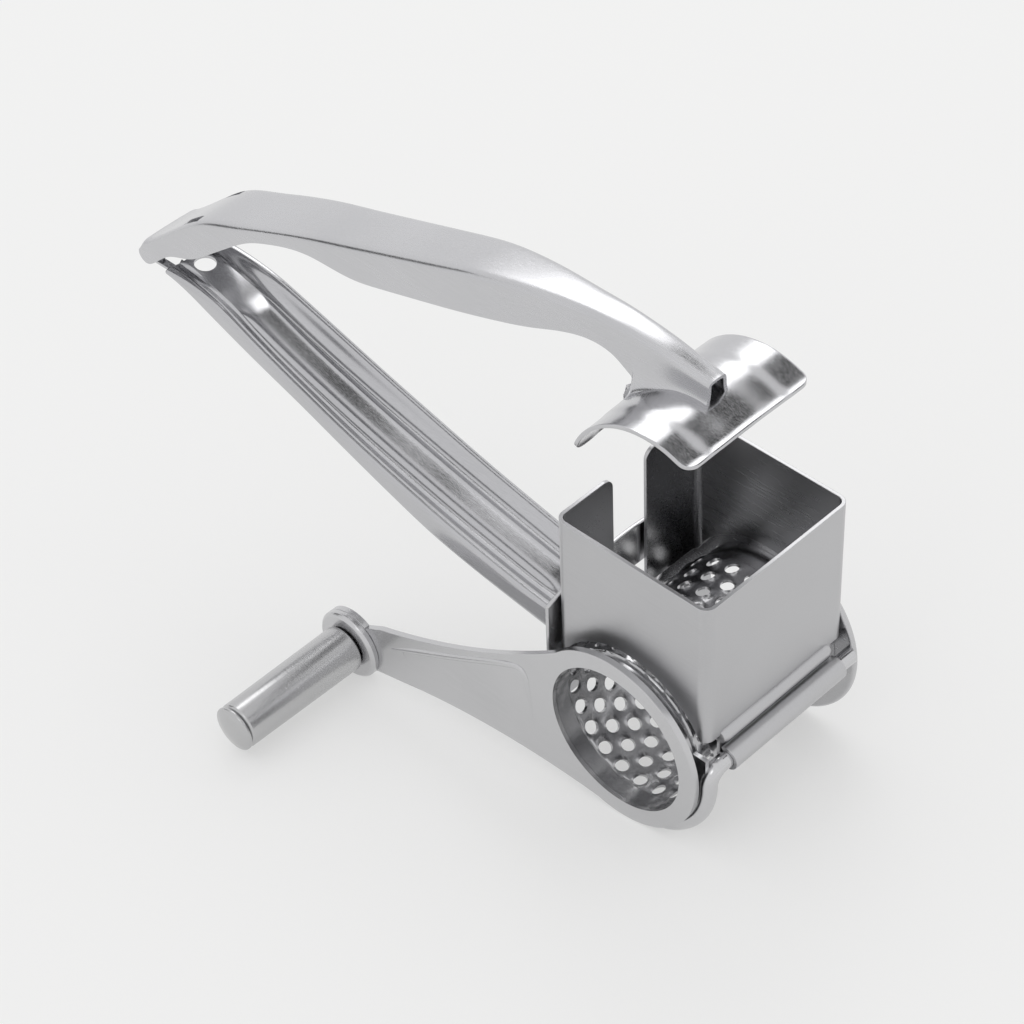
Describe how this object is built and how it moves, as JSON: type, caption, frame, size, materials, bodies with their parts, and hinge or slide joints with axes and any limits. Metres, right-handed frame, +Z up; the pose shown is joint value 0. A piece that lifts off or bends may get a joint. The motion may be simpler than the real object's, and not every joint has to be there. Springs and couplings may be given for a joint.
{
  "type": "rotary cabbage shredder",
  "caption": "Hand-cranked all-steel rotary shredder: a toothed drum turned by a side crank under an open box hopper, with a hinged handle that presses food onto it.",
  "frame": {"origin": "on the drum's axis, at the middle of the hopper's width", "axes": "+Z up, towards the hopper's rim; +X from the handles' hinge towards the hopper's front; +Y along the drum's axis, away from the crank"},
  "size_m": [0.2177, 0.1006, 0.1387],
  "materials": {
    "steel_bright": "polished stainless sheet",
    "steel_satin": "satin stainless sheet"
  },
  "bodies": {
    "frame": {"lower_handle": "steel_bright", "rear_yoke": "steel_bright", "cradle_cheek_near": "steel_bright", "cradle_disc_far": "steel_bright", "hinge_bar": "steel_bright"},
    "hopper": {"hopper_box": "steel_satin"},
    "drum": {"drum_barrel": "steel_satin", "crank_plate": "steel_bright", "grip_boss": "steel_bright", "grip_spindle": "steel_bright", "grip_end_cap": "steel_satin"},
    "grip": {"grip_sleeve": "steel_satin"},
    "press": {"press_arm": "steel_bright", "presser_saddle": "steel_bright"}
  },
  "joints": [
    {"name": "crank_spin", "type": "hinge", "parent": "frame", "child": "drum", "pos_m": [0, 0, 0], "axis": [0, 1, 0], "continuous": true},
    {"name": "grip_spin", "type": "hinge", "parent": "drum", "child": "grip", "pos_m": [-0.09225, 0, -0.02998], "axis": [0, 1, 0], "continuous": true},
    {"name": "press_swing", "type": "hinge", "parent": "frame", "child": "press", "pos_m": [-0.1855, 0, 0.0355], "axis": [0, 1, 0], "range_deg": [-50, 20]},
    {"name": "hopper_tilt", "type": "hinge", "parent": "frame", "child": "hopper", "pos_m": [0.02568, 0, 0.0038], "axis": [0, 1, 0], "range_deg": [0, 95]}
  ]
}
